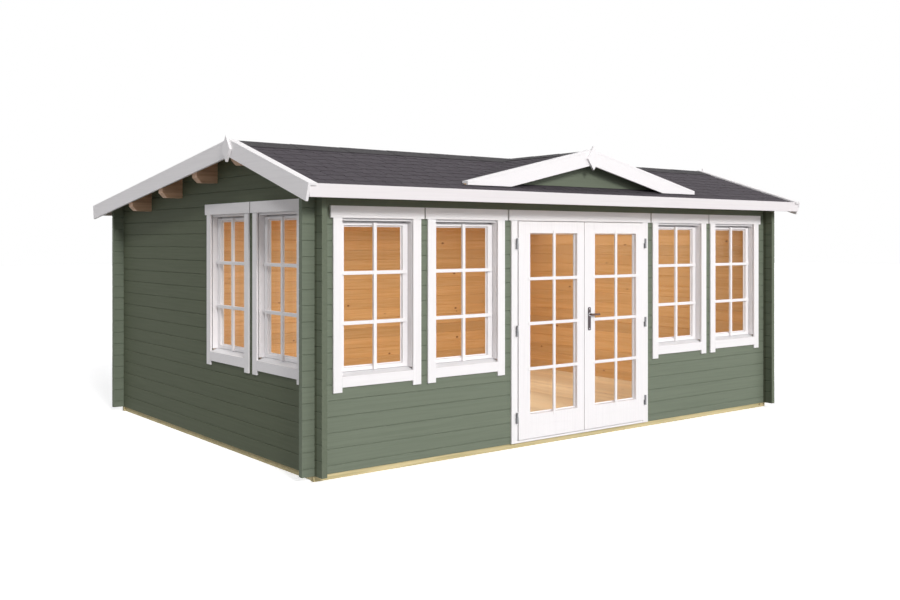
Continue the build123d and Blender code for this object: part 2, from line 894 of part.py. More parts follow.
# Handle: a plate and a lever on each face of the opening leaf, on one square spindle
with BuildPart() as door_handle_plates:
    for face, outward in ((leaf_front, -1), (leaf_back, 1)):
        y0, y1 = sorted((face, face + outward * plate_thickness))
        x0 = handle_x - plate_width / 2
        box_between(x0, x0 + plate_width, y0, y1, plate_bottom, plate_bottom + plate_height)
        with BuildSketch(Plane.XZ.offset(-y0)):
            with Locations((handle_x, spindle_height)):
                Circle(lever_neck_radius + spindle_clearance)
        extrude(amount=-plate_thickness, mode=Mode.SUBTRACT)
save(door_handle_plates.part, "door_handle_plates")
with BuildPart() as door_lever_handle:
    with Locations((handle_x, (leaf_front + leaf_back) / 2, spindle_height)):
        Box(spindle_width, leaf_thickness, spindle_width)
    for face, outward in ((leaf_front, -1), (leaf_back, 1)):
        reach = plate_thickness + lever_reach - lever_thickness
        with BuildSketch(Plane.XZ.offset(-face)):
            with Locations((handle_x, spindle_height)):
                Circle(lever_neck_radius)
        extrude(amount=-outward * reach)
        grip = face + outward * (reach + lever_thickness / 2)
        with Locations((handle_x + (lever_length - lever_neck_radius) / 2, grip, spindle_height)):
            Box(lever_length + lever_neck_radius, lever_thickness, lever_height)
save(door_lever_handle.part, "door_lever_handle")
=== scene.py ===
# %% [markdown]
# # A log cabin, finished and lit
# The solid model gives this cabin its logs, roof, windows and doors, each cut to size but bare. This lesson adds
# what a joiner, a roofer and a painter would add: boards, shingles, glazing bars, beads, ironmongery and paint.
# Everything is in metres. The ground is at z = 0 and the front faces -Y, so +X runs to the right along it.

# %% Load the solid model
import math
import random

import bmesh
import bpy
from mathutils import Matrix, Vector


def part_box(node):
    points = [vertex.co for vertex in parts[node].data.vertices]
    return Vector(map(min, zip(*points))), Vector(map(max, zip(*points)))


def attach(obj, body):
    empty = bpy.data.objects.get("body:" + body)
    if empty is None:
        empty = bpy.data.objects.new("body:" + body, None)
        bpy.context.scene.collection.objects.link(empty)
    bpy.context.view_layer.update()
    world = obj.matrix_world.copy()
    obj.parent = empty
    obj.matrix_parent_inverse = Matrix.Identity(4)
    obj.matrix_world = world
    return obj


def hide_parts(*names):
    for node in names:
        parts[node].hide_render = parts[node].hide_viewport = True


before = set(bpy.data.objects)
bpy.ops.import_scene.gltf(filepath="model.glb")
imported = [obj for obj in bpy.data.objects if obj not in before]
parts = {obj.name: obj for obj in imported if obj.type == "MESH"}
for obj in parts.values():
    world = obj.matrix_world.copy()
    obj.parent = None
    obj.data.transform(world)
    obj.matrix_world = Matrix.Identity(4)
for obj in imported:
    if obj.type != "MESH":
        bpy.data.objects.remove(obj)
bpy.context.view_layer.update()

scene = bpy.context.scene

# %% [markdown]
# ## Starting a finish
# Every finish here is a Principled shader with nodes in front of it. A few small helpers keep the node trees short
# to read: one starts a material, one adds a node, and the others do arithmetic and mix colours. Patterns read
# Object coordinates, because each part's place is in its mesh, so the pattern stays fixed to the timber.

# %% Helpers for node trees
X, Y, Z = 0, 1, 2


def start_finish(name, roughness=0.5, metallic=0.0):
    material = bpy.data.materials.new(name)
    material.use_nodes = True
    shader = material.node_tree.nodes["Principled BSDF"]
    shader.inputs["Roughness"].default_value = roughness
    shader.inputs["Metallic"].default_value = metallic
    return material, shader


def add_node(material, kind, **settings):
    made = material.node_tree.nodes.new(kind)
    for key, value in settings.items():
        setattr(made, key, value)
    return made


def feed(material, socket, value):
    """Gives a socket a number, a colour or another node's output."""
    if isinstance(value, bpy.types.NodeSocket):
        material.node_tree.links.new(value, socket)
    else:
        socket.default_value = value


def arithmetic(material, operation, *values):
    made = add_node(material, "ShaderNodeMath", operation=operation)
    for socket, value in zip(made.inputs, values):
        feed(material, socket, value)
    return made.outputs[0]


def fade(material, value, start, stop):
    """0 below start and 1 above stop, smooth between them. Start may be the larger."""
    made = add_node(material, "ShaderNodeMapRange", interpolation_type="SMOOTHSTEP")
    for socket, number in zip(made.inputs, (value, min(start, stop), max(start, stop))):
        feed(material, socket, number)
    return made.outputs[0] if start < stop else arithmetic(material, "SUBTRACT", 1.0, made.outputs[0])


def mix_colours(material, share, first, second, how="MIX"):
    made = add_node(material, "ShaderNodeMix", data_type="RGBA", blend_type=how)
    for socket, value in zip((made.inputs["Factor"], made.inputs[6], made.inputs[7]), (share, first, second)):
        feed(material, socket, value)
    return made.outputs[2]


def places(material):
    """Object coordinates, whole and as x, y and z."""
    whole = add_node(material, "ShaderNodeTexCoord").outputs["Object"]
    split = add_node(material, "ShaderNodeSeparateXYZ")
    feed(material, split.inputs[0], whole)
    return whole, split.outputs


def bump(material, shader, height, strength, distance=0.001):
    made = add_node(material, "ShaderNodeBump")
    feed(material, made.inputs["Strength"], strength)
    feed(material, made.inputs["Distance"], distance)
    feed(material, made.inputs["Height"], height)
    feed(material, shader.inputs["Normal"], made.outputs["Normal"])


print("helpers ready")

# %% [markdown]
# ## Grain and knots
# Sawn pine shows long streaks where the saw crosses the year rings, and dark knots where branches grew. A noise
# texture squeezed across the board and stretched along it gives the streaks. A Voronoi texture gives the knots: each
# of its cells has one middle, and most cells are left empty so that the knots are scattered. Each board gets its own
# roll of the dice, which shifts its streaks and its tone, or the pattern would run on from board to board.

# %% Helpers for wood
BOARD_SHIFT = 7.0  # metres, at most, by which a board's pattern is moved
FINE_GRAIN, BROAD_GRAIN = 60.0, 9.0  # in a metre, across the board
KNOTS_ACROSS, KNOTS_ALONG = 8.8, 5.5  # cells in a metre
KNOT_SIZE, KNOT_SHARE = 0.13, 0.3  # of a cell's width, and of all cells
SAWN_BUMP = (0.35, 0.0008)  # strength, and height in metres


def board_dice(material, across, first_joint, pitch):
    """A random number and a random colour for each board, counted across them from the first joint."""
    number = arithmetic(material, "FLOOR", arithmetic(
        material, "DIVIDE", arithmetic(material, "SUBTRACT", across, first_joint), pitch))
    dice = add_node(material, "ShaderNodeTexWhiteNoise", noise_dimensions="1D")
    feed(material, dice.inputs["W"], number)
    return dice.outputs["Value"], dice.outputs["Color"]


def streaks(material, whole, shift, along, fine, stretch):
    """Noise drawn out along one axis, from 0 to 1."""
    moved = add_node(material, "ShaderNodeVectorMath", operation="MULTIPLY_ADD")
    feed(material, moved.inputs[0], shift)
    moved.inputs[1].default_value = (BOARD_SHIFT,) * 3
    feed(material, moved.inputs[2], whole)
    squeezed = add_node(material, "ShaderNodeMapping")
    scale = [fine, fine, fine]
    scale[along] = stretch
    squeezed.inputs["Scale"].default_value = scale
    feed(material, squeezed.inputs["Vector"], moved.outputs[0])
    noise = add_node(material, "ShaderNodeTexNoise")
    feed(material, noise.inputs["Vector"], squeezed.outputs[0])
    noise.inputs["Scale"].default_value = 1.0
    noise.inputs["Detail"].default_value = 5.0
    noise.inputs["Distortion"].default_value = 0.6
    return noise.outputs[0], moved.outputs[0]


def knots(material, moved, along):
    """1 in the middle of a knot and 0 away from it."""
    cells = add_node(material, "ShaderNodeMapping")
    scale = [KNOTS_ACROSS] * 3
    scale[along] = KNOTS_ALONG
    cells.inputs["Scale"].default_value = scale
    feed(material, cells.inputs["Vector"], moved)
    voronoi = add_node(material, "ShaderNodeTexVoronoi")
    voronoi.inputs["Scale"].default_value = 1.0
    feed(material, voronoi.inputs["Vector"], cells.outputs[0])
    split = add_node(material, "ShaderNodeSeparateColor")
    feed(material, split.inputs[0], voronoi.outputs["Color"])
    near = fade(material, voronoi.outputs["Distance"], KNOT_SIZE, KNOT_SIZE * 0.45)
    kept = arithmetic(material, "LESS_THAN", split.outputs[0], KNOT_SHARE)
    return arithmetic(material, "MULTIPLY", near, kept)


def pine_colour(material, whole, dice, shift, along, light, dark, knot):
    """Bare pine: its colour, its streaks and its knots."""
    grain, moved = streaks(material, whole, shift, along, FINE_GRAIN, 1.5)
    broad, _ = streaks(material, whole, shift, along, BROAD_GRAIN, 0.8)
    share = fade(material, grain, 0.38, 0.68)
    colour = mix_colours(material, share, light, dark)
    tone = add_node(material, "ShaderNodeMapRange")
    for socket, number in zip(tone.inputs, (broad, 0.3, 0.7, 0.93, 1.04)):
        feed(material, socket, number)
    board = add_node(material, "ShaderNodeMapRange")
    for socket, number in zip(board.inputs, (dice, 0.0, 1.0, 0.9, 1.06)):
        feed(material, socket, number)
    both = arithmetic(material, "MULTIPLY", tone.outputs[0], board.outputs[0])
    grey = add_node(material, "ShaderNodeCombineColor")
    for socket in grey.inputs[:3]:
        feed(material, socket, both)
    colour = mix_colours(material, 1.0, colour, grey.outputs[0], "MULTIPLY")
    spots = knots(material, moved, along)
    return mix_colours(material, spots, colour, knot), grain, spots


print("wood helpers ready")

# %% [markdown]
# ## The log walls
# The logs are painted sage green outside and left bare inside, and one log is both, so one finish has to know which
# face it is on. A wall is 44 mm thick: anything more than 22 mm inside the outer faces is bare. The paint is thin, so
# the grain stands through it a little, and each log takes it slightly differently. The side logs get painted shade:
# one paint covers all the walls, but the sides' green is darkened, and their ends, past the corner, by half as much.

# %% Finish the log walls
LOG_PITCH = 0.114
BEAM_TOP = 0.045
WALL_X, WALL_Y, HALF_LOG = 2.65, 1.9, 0.022
LOG_END = 1.93  # a side log counts as its end from here on, past the corner
GREEN = (0.175, 0.204, 0.151, 1)
GREEN_DEEP = (0.156, 0.184, 0.135, 1)
PINE_LIGHT = (0.80, 0.52, 0.25, 1)
PINE_DARK = (0.73, 0.435, 0.18, 1)
PINE_KNOT = (0.30, 0.12, 0.05, 1)
# Painted shade on the side logs: they keep only this share of the green, and their ends past the corner half of it.
SIDE_PAINTED_SHADE = (0.58, 0.575, 0.50)  # how much of the green's red, green and blue the side logs keep


def log_finish(name, along, first_joint, depth=(1, 1, 1)):
    material, shader = start_finish(name, 0.7)
    shader.inputs["Specular IOR Level"].default_value = 0.2
    whole, (x, y, z) = places(material)
    dice, shift = board_dice(material, z, first_joint, LOG_PITCH)
    bare, grain, spots = pine_colour(material, whole, dice, shift, along, PINE_LIGHT, PINE_DARK, PINE_KNOT)
    green = mix_colours(material, fade(material, grain, 0.35, 0.7), GREEN, GREEN_DEEP)
    green = mix_colours(material, arithmetic(material, "MULTIPLY", dice, 0.35), green, GREEN_DEEP)
    # Painted shade: the side logs' green is multiplied by depth, and past the corner by half as much.
    past_corner = arithmetic(material, "GREATER_THAN", arithmetic(material, "ABSOLUTE", y), LOG_END)
    shade = mix_colours(material, past_corner, (*depth, 1), (*((1 + part) / 2 for part in depth), 1))
    green = mix_colours(material, 1.0, green, shade, "MULTIPLY")
    inside = arithmetic(
        material, "MULTIPLY",
        arithmetic(material, "LESS_THAN", arithmetic(material, "ABSOLUTE", x), WALL_X - HALF_LOG),
        arithmetic(material, "LESS_THAN", arithmetic(material, "ABSOLUTE", y), WALL_Y - HALF_LOG))
    feed(material, shader.inputs["Base Color"], mix_colours(material, inside, green, bare))
    bump(material, shader, arithmetic(material, "ADD", grain, spots), *SAWN_BUMP)
    return material


long_logs = log_finish("green_logs_along_the_front", X, BEAM_TOP + LOG_PITCH / 2)
side_logs = log_finish("green_logs_along_the_sides_painted_shade", Y, BEAM_TOP + LOG_PITCH, SIDE_PAINTED_SHADE)


def dress(finish, *names):
    """Gives solid parts a finish."""
    for name in names:
        mesh = parts[name].data
        mesh.materials.clear()
        mesh.materials.append(finish)
    print(finish.name, "on", ", ".join(names))


dress(long_logs, "front_wall_below_left_windows", "front_wall_below_right_windows", "front_wall_piers",
      "front_wall_top_logs", "rear_wall")
dress(side_logs, "left_wall_below_windows", "left_wall_piers", "left_gable_wall", "right_gable_wall")

# %% [markdown]
# ## Bare timber
# Purlins, roof boards, floor boards and the beams on the ground are all bare softwood, but not the same. The purlins
# are the darkest, and the floor is the palest. The beams are pressure treated, which leaves them yellow with a green
# cast. The boards' finish counts its boards along X.

# %% Finish the bare timber
def timber_finish(name, along, light, dark, knot, count_axis, pitch, roughness=0.6):
    material, shader = start_finish(name, roughness)
    whole, axes = places(material)
    dice, shift = board_dice(material, axes[count_axis], 0.0, pitch)
    colour, grain, spots = pine_colour(material, whole, dice, shift, along, light, dark, knot)
    feed(material, shader.inputs["Base Color"], colour)
    bump(material, shader, arithmetic(material, "ADD", grain, spots), *SAWN_BUMP)
    return material


ROOF_BOARD_PITCH = 0.0885
FLOOR_BOARD_PITCH = 0.08975
purlin_wood = timber_finish("purlin_pine", X, (0.61, 0.39, 0.25, 1), (0.48, 0.285, 0.175, 1), PINE_KNOT, Y, 0.2)
roof_wood = timber_finish("roof_board_pine", Y, (0.82, 0.53, 0.26, 1), (0.68, 0.38, 0.155, 1), PINE_KNOT, X,
                          ROOF_BOARD_PITCH)
floor_wood = timber_finish("floor_board_spruce", Y, (0.88, 0.73, 0.49, 1), (0.80, 0.61, 0.37, 1),
                           (0.33, 0.15, 0.06, 1), X, FLOOR_BOARD_PITCH, 0.45)
treated_wood = timber_finish("treated_beam", X, (0.66, 0.55, 0.30, 1), (0.50, 0.42, 0.21, 1),
                             (0.22, 0.15, 0.06, 1), Y, 0.3, 0.7)
dress(purlin_wood, "ridge_purlin", "side_purlins")
dress(roof_wood, "dormer_roof_boards")
dress(treated_wood, "foundation_beams", "floor_bearers")

# %% [markdown]
# ## Paint on planed boards
# The barge boards, trims, frames and doors are planed and painted white, and the small gable's panel green. The
# fascias take a slightly duller white and the sills a pale grey. Paint on planed wood is smoother than on logs: a
# faint brushed grain that runs along the board, and hardly any change of colour. One finish for each direction in
# which boards run keeps the brush strokes along the wood.

# %% Finish the painted boards
WHITE = (0.90, 0.878, 0.884, 1)
WHITE_DEEP = (0.865, 0.843, 0.85, 1)


def paint_finish(name, along, colour, deep, roughness=0.55):
    material, shader = start_finish(name, roughness)
    shader.inputs["Specular IOR Level"].default_value = 0.2
    whole, _ = places(material)
    grain, _ = streaks(material, whole, (0.0, 0.0, 0.0), along, 90.0, 2.0)
    feed(material, shader.inputs["Base Color"], mix_colours(material, fade(material, grain, 0.4, 0.75), colour, deep))
    bump(material, shader, grain, 0.18, 0.0005)
    return material


white_upright = paint_finish("white_paint_upright", Z, WHITE, WHITE_DEEP)
white_level = paint_finish("white_paint_level", X, WHITE, WHITE_DEEP)
white_sloping = paint_finish("white_paint_sloping", Y, WHITE, WHITE_DEEP)
fascia_paint = paint_finish("fascia_paint", X, (0.805, 0.768, 0.775, 1), (0.775, 0.738, 0.745, 1))
sill_paint = paint_finish("grey_sill_paint", X, (0.775, 0.77, 0.785, 1), (0.73, 0.73, 0.74, 1), 0.5)
green_panel = paint_finish("green_paint_panel", X, (0.138, 0.162, 0.116, 1), (0.124, 0.145, 0.104, 1), 0.6)
dress(white_upright, "window_side_trims", "window_jambs", "window_sashes", "door_frame_posts", "finials")
dress(white_level, "head_boards", "window_aprons", "window_frame_heads", "door_frame_head", "door_threshold")
dress(white_sloping, "barge_boards", "barge_caps")
dress(fascia_paint, "eave_fascias")
dress(sill_paint, "window_sills")
dress(green_panel, "dormer_gable_panel")

# %% [markdown]
# ## Glass and metal
# A pane has to let lamps light the room behind it. Cycles treats a solid glass shader as opaque to lamps, so for
# shadow rays the pane is swapped for a clear one, which is a common trick and changes nothing in how it looks. The
# hinges are dark zinc. The lever is dark bronze, on a nearly black plate with a steel rose.

# %% Finish the glass and the metal
glass, pane_shader = start_finish("window_glass", 0.0)
pane_shader.inputs["Base Color"].default_value = (0.97, 0.985, 0.975, 1)
pane_shader.inputs["Transmission Weight"].default_value = 1.0
pane_shader.inputs["IOR"].default_value = 1.1
rays = add_node(glass, "ShaderNodeLightPath")
clear = add_node(glass, "ShaderNodeBsdfTransparent")
swap = add_node(glass, "ShaderNodeMixShader")
lamp_rays = arithmetic(glass, "MAXIMUM", rays.outputs["Is Shadow Ray"], rays.outputs["Is Diffuse Ray"])
feed(glass, swap.inputs["Fac"], lamp_rays)
feed(glass, swap.inputs[1], pane_shader.outputs[0])
feed(glass, swap.inputs[2], clear.outputs[0])
feed(glass, glass.node_tree.nodes["Material Output"].inputs["Surface"], swap.outputs[0])


def metal_finish(name, colour, worn, roughness):
    material, shader = start_finish(name, roughness, 1.0)
    whole, _ = places(material)
    noise = add_node(material, "ShaderNodeTexNoise")
    feed(material, noise.inputs["Vector"], whole)
    noise.inputs["Scale"].default_value = 160.0
    noise.inputs["Detail"].default_value = 3.0
    feed(material, shader.inputs["Base Color"],
         mix_colours(material, fade(material, noise.outputs[0], 0.4, 0.7), colour, worn))
    bump(material, shader, noise.outputs[0], 0.1, 0.0003)
    return material


DARK_ZINC = (0.22, 0.225, 0.235, 1)
ARM_END = 0.7685  # the hinges' arms end here, and their knuckles are further out


def hinge_finish(name):
    """Zinc knuckles, with the flat arms painted over with the leaf that they lie on."""
    material, shader = start_finish(name, 0.5)
    _, (x, _, _) = places(material)
    knuckle = arithmetic(material, "GREATER_THAN", arithmetic(material, "ABSOLUTE", x), ARM_END)
    feed(material, shader.inputs["Metallic"], knuckle)
    feed(material, shader.inputs["Base Color"], mix_colours(material, knuckle, WHITE, DARK_ZINC))
    return material


zinc = metal_finish("dark_zinc", DARK_ZINC, (0.30, 0.305, 0.315, 1), 0.5)
bronze = metal_finish("dark_bronze", (0.10, 0.062, 0.055, 1), (0.16, 0.105, 0.09, 1), 0.38)
dark_plate = metal_finish("dark_plate", (0.075, 0.063, 0.067, 1), (0.12, 0.10, 0.105, 1), 0.4)
steel = metal_finish("brushed_steel", (0.72, 0.73, 0.76, 1), (0.62, 0.63, 0.66, 1), 0.35)
dress(glass, "window_glass", "left_door_glass", "right_door_glass")
hinges = hinge_finish("painted_hinge")
dress(zinc, "door_frame_hinges")
dress(hinges, "left_door_hinges", "right_door_hinges")

# %% [markdown]
# ## Making pieces
# The new pieces are mostly boards, so a few helpers do most of the work. One makes a block between two corners, from
# a cube that is scaled and moved. One rounds the edges with a bevel, because sawn timber never keeps a knife edge and
# the small round catches the light. One turns the finished bmesh into an object and ties it to its body.

# %% Helpers for pieces
def block(shape, low, high):
    made = bmesh.ops.create_cube(shape, size=1.0)["verts"]
    bmesh.ops.scale(shape, vec=[b - a for a, b in zip(low, high)], verts=made)
    bmesh.ops.translate(shape, vec=[(a + b) / 2 for a, b in zip(low, high)], verts=made)
    return made


def edges_of(verts):
    return list({edge for vert in verts for edge in vert.link_edges})


def all_of(shape):
    """Every vertex, edge and face, which is what duplicate and bisect ask for."""
    return shape.verts[:] + shape.edges[:] + shape.faces[:]


def verts_among(geometry):
    return [item for item in geometry if isinstance(item, bmesh.types.BMVert)]


def soften(shape, edges, width=0.0015, segments=2):
    bmesh.ops.bevel(shape, geom=edges, offset=width, segments=segments, profile=0.5, affect="EDGES", material=-1,
                    clamp_overlap=True)


def make_piece(name, shape, finishes, body, stands_for=()):
    bmesh.ops.recalc_face_normals(shape, faces=shape.faces)
    mesh = bpy.data.meshes.new(name)
    shape.to_mesh(mesh)
    shape.free()
    for finish in finishes:
        mesh.materials.append(finish)
    made = bpy.data.objects.new(name, mesh)
    scene.collection.objects.link(made)
    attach(made, body)
    if stands_for:
        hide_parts(*stands_for)
    print(f"{name}: {len(mesh.polygons)} faces, {', '.join(f.name for f in finishes)}")


print("piece helpers ready")

# %% [markdown]
# ## Floor boards
# A boarded floor is one board made well and laid many times. The first board gets its edges rounded, then it is
# duplicated and moved along by one board's width until the room is full. That is lighter than bevelling each board.

# %% Lay the floor
low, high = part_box("floor_boards")
JOINT = 0.0006
count = round((high.x - low.x) / FLOOR_BOARD_PITCH)
pitch = (high.x - low.x) / count


def lay_boards(shape, count, step):
    """Copies the first board along by a step, over and over."""
    first = all_of(shape)
    for number in range(1, count):
        copy = bmesh.ops.duplicate(shape, geom=first)["geom"]
        bmesh.ops.translate(shape, vec=Vector(step) * number, verts=verts_among(copy))


floor = bmesh.new()
board = block(floor, (low.x, low.y, low.z), (low.x + pitch - JOINT, high.y, high.z))
soften(floor, edges_of(board), 0.0012)
lay_boards(floor, count, (pitch, 0, 0))
make_piece("floor_boarding", floor, [floor_wood], "cabin", ["floor_boards"])
print("boards:", count, "each", round(pitch * 1000, 1), "mm wide")

# %% [markdown]
# ## Roof boards
# The roof boards run down the slope from the ridge to the eave, with a V at each joint below, where they are seen
# from under the overhang. They are laid flat first and then sheared: a shear lifts each point by its distance from
# the ridge, so the boards lean with the roof while their ends stay upright, as they are sawn.

# %% Lay the roof boards
RIDGE_Y, RIDGE_Z = -0.94, 2.456
FRONT_EAVE, REAR_EAVE = -2.13, 2.13
GABLE_EDGE = 2.832
FRONT_FALL, REAR_FALL = 0.3176, 0.138
BOARD = 0.020
V_JOINT = 0.003


def lean(rise):
    """A shear that lifts points by rise for each metre behind the ridge, and sets the ridge at its height."""
    shear = Matrix.Identity(4)
    shear[2][1] = rise
    shear[2][3] = RIDGE_Z - rise * RIDGE_Y
    return shear


FRONT_SLOPE, REAR_SLOPE = lean(FRONT_FALL), lean(-REAR_FALL)


def roof_boards(name, y0, y1, slope, stands_for):
    shape = bmesh.new()
    count = round(2 * GABLE_EDGE / ROOF_BOARD_PITCH)
    pitch = 2 * GABLE_EDGE / count
    block(shape, (-GABLE_EDGE, y0, -BOARD), (-GABLE_EDGE + pitch - JOINT, y1, 0))
    low_edges = [e for e in shape.edges if all(v.co.z < -BOARD / 2 for v in e.verts)]
    under = [e for e in low_edges if e.verts[0].co.x == e.verts[1].co.x]
    soften(shape, under, V_JOINT, 1)
    lay_boards(shape, count, (pitch, 0, 0))
    bmesh.ops.transform(shape, matrix=slope, verts=shape.verts)
    make_piece(name, shape, [roof_wood], "cabin", [stands_for])
    print("boards:", count)


roof_boards("front_roof_boarding", FRONT_EAVE, RIDGE_Y, FRONT_SLOPE, "front_roof_boards")
roof_boards("rear_roof_boarding", RIDGE_Y, REAR_EAVE, REAR_SLOPE, "rear_roof_boards")

# %% [markdown]
# ## Shingles: the finish
# A felt shingle is bitumen faced with crushed slate. The face is a matt dark grey with a purple cast and a speckle of
# lighter and darker grains. The cut edges show plain black bitumen, which is what draws the thin dark line round each
# tab. Each tab carries its own tone in an attribute on its faces, since tabs come from many sheets.

# %% Finish the shingles
def granule_finish(name, dark, light):
    material, shader = start_finish(name, 0.92)
    shader.inputs["Specular IOR Level"].default_value = 0.25
    whole, _ = places(material)
    grains = add_node(material, "ShaderNodeTexNoise")
    feed(material, grains.inputs["Vector"], whole)
    grains.inputs["Scale"].default_value = 420.0
    grains.inputs["Detail"].default_value = 2.0
    patches = add_node(material, "ShaderNodeTexNoise")
    feed(material, patches.inputs["Vector"], whole)
    patches.inputs["Scale"].default_value = 3.0
    patches.inputs["Detail"].default_value = 4.0
    tone = add_node(material, "ShaderNodeAttribute", attribute_name="tab_tone")
    mixed = arithmetic(material, "ADD", arithmetic(material, "MULTIPLY", patches.outputs[0], 0.5),
                       arithmetic(material, "MULTIPLY", tone.outputs["Fac"], 0.5))
    colour = mix_colours(material, fade(material, mixed, 0.2, 0.8), dark, light)
    speckle = fade(material, grains.outputs[0], 0.52, 0.72)
    colour = mix_colours(material, arithmetic(material, "MULTIPLY", speckle, 0.35), colour, (0.19, 0.18, 0.19, 1))
    feed(material, shader.inputs["Base Color"], colour)
    bump(material, shader, grains.outputs[0], 0.6, 0.0012)
    return material


granules = granule_finish("slate_granules", (0.052, 0.043, 0.053, 1), (0.062, 0.053, 0.063, 1))
cap_granules = granule_finish("ridge_granules", (0.043, 0.040, 0.043, 1), (0.052, 0.049, 0.052, 1))
# Black bitumen: the cut edges' own colour, and painted shade where it fills the shingles' slits and the door's
# keyholes.
bitumen_and_painted_shade, bitumen_and_painted_shade_shader = start_finish("bitumen_edges_and_painted_shade", 0.75)
whole, _ = places(bitumen_and_painted_shade)
soot = add_node(bitumen_and_painted_shade, "ShaderNodeTexNoise")
feed(bitumen_and_painted_shade, soot.inputs["Vector"], whole)
soot.inputs["Scale"].default_value = 90.0
feed(bitumen_and_painted_shade, bitumen_and_painted_shade_shader.inputs["Base Color"],
     mix_colours(bitumen_and_painted_shade, soot.outputs[0], (0.018, 0.016, 0.018, 1), (0.035, 0.03, 0.034, 1)))
print("shingle finishes ready")

# %% [markdown]
# ## Shingles: the tabs
# The tabs are laid on a flat strip first, in courses from the eave up. Each tab is a thin wedge, thick at its lower
# end, so that the course above steps over it. The tabs' widths vary and every second one or so is cut a little
# shorter, which gives the broken lines of this kind of roof. A black sheet below shows in the slits: partly the
# bitumen's own black, and partly painted shade of the narrow slits.

# %% Cut the tabs
COURSE = 0.118  # how much of each course shows
TAB_WIDTHS = (0.105, 0.125, 0.145)
STAGGER = 0.026
SLIT = 0.004
SHEET, TAB_LOW, TAB_HIGH = 0.002, 0.0035, 0.0075
LAP = 0.05  # how far each course reaches under the next
LEAST_TAB, LEAST_COURSE = 0.05, 0.02
HAIR = 0.001  # slack when heights or places are compared
EDGE_ZONE = 0.01  # what lies within this of a tab's or a cap's first edge belongs to that edge
chance = random.Random(11)


def shingle_strip(length, height):
    """Courses of tabs on a flat strip: x runs along the eave, y up the slope and z is the height over the boards."""
    shape = bmesh.new()
    tone = shape.faces.layers.float.new("tab_tone")
    block(shape, (0, 0, 0), (length, height, SHEET))
    bottom = 0.0
    while bottom < height - LEAST_COURSE:
        start, short = 0.0, chance.random() < 0.5
        while start < length - HAIR:
            width = chance.choice(TAB_WIDTHS)
            if length - start - width < LEAST_TAB:
                width = length - start
            lower = bottom + (STAGGER if short and bottom > 0 else 0.0)
            upper = min(bottom + COURSE + LAP, height)
            tab = block(shape, (start, lower, SHEET), (start + width - SLIT, upper, TAB_HIGH))
            thin = [v for v in tab if v.co.z > SHEET + HAIR and v.co.y > lower + EDGE_ZONE]
            bmesh.ops.translate(shape, vec=(0, 0, TAB_LOW - TAB_HIGH), verts=thin)
            shade = chance.random()
            for face in {f for v in tab for f in v.link_faces}:
                face[tone] = shade
            start += width
            short = chance.random() < (0.25 if short else 0.75)
        bottom += COURSE
    for face in shape.faces:
        face.normal_update()
        # All but the tabs' tops take the black finish, including the sheet in the slits, whose black is partly
        # painted shade.
        face.material_index = 0 if face.normal.z > 0.5 and face.calc_center_median().z > SHEET + 0.0005 else 1
    return shape


print("one course every", COURSE * 1000, "mm")

# %% [markdown]
# ## Shingles: the main roof
# The flat strips now go to their places. The front strip starts at the front eave and the rear one at the rear eave,
# turned round, and each is sheared with the same slope as the boards below it.

# %% Lay the main roof
COVERING_EDGE = 2.782
front_strip = shingle_strip(2 * COVERING_EDGE, RIDGE_Y - FRONT_EAVE)
bmesh.ops.translate(front_strip, vec=(-COVERING_EDGE, FRONT_EAVE, 0), verts=front_strip.verts)
bmesh.ops.transform(front_strip, matrix=FRONT_SLOPE, verts=front_strip.verts)
make_piece("front_shingles", front_strip, [granules, bitumen_and_painted_shade], "cabin", ["front_roof_covering"])

rear_strip = shingle_strip(2 * COVERING_EDGE, REAR_EAVE - RIDGE_Y)
turned_round = Matrix.Translation((COVERING_EDGE, REAR_EAVE, 0)) @ Matrix.Rotation(math.pi, 4, "Z")
bmesh.ops.transform(rear_strip, matrix=turned_round, verts=rear_strip.verts)
bmesh.ops.transform(rear_strip, matrix=REAR_SLOPE, verts=rear_strip.verts)
make_piece("rear_shingles", rear_strip, [granules, bitumen_and_painted_shade], "cabin", ["rear_roof_covering"])

# %% [markdown]
# ## Shingles: the small gable
# The small gable's two slopes fall to the left and the right, so their strips run back along Y. Where they reach the
# main roof they are cut off along it. A plane cuts each strip with bisect, and the open cuts are filled again so that
# every tab stays closed.

# %% Lay the small gable's roof
DORMER_FALL = 0.2317
DORMER_HALF = 1.364
DORMER_BACK_OF_CAP = -1.946
SHINGLE_TOP = 0.006
MERGE = 1e-5


def small_gable_slope(side, height):
    """A shear that makes one side of the small gable fall outwards from its ridge."""
    shear = Matrix.Identity(4)
    shear[2][0] = -side * DORMER_FALL
    shear[2][3] = height
    return shear


def cut_along_the_main_roof(shape):
    """Takes away what lies below the front slope's shingles, and closes the cut."""
    bmesh.ops.bisect_plane(shape, geom=all_of(shape), dist=MERGE, plane_co=(0, RIDGE_Y, RIDGE_Z + SHINGLE_TOP),
                           plane_no=(0, -FRONT_FALL, 1), clear_inner=True)
    bmesh.ops.holes_fill(shape, edges=[e for e in shape.edges if e.is_boundary], sides=0)


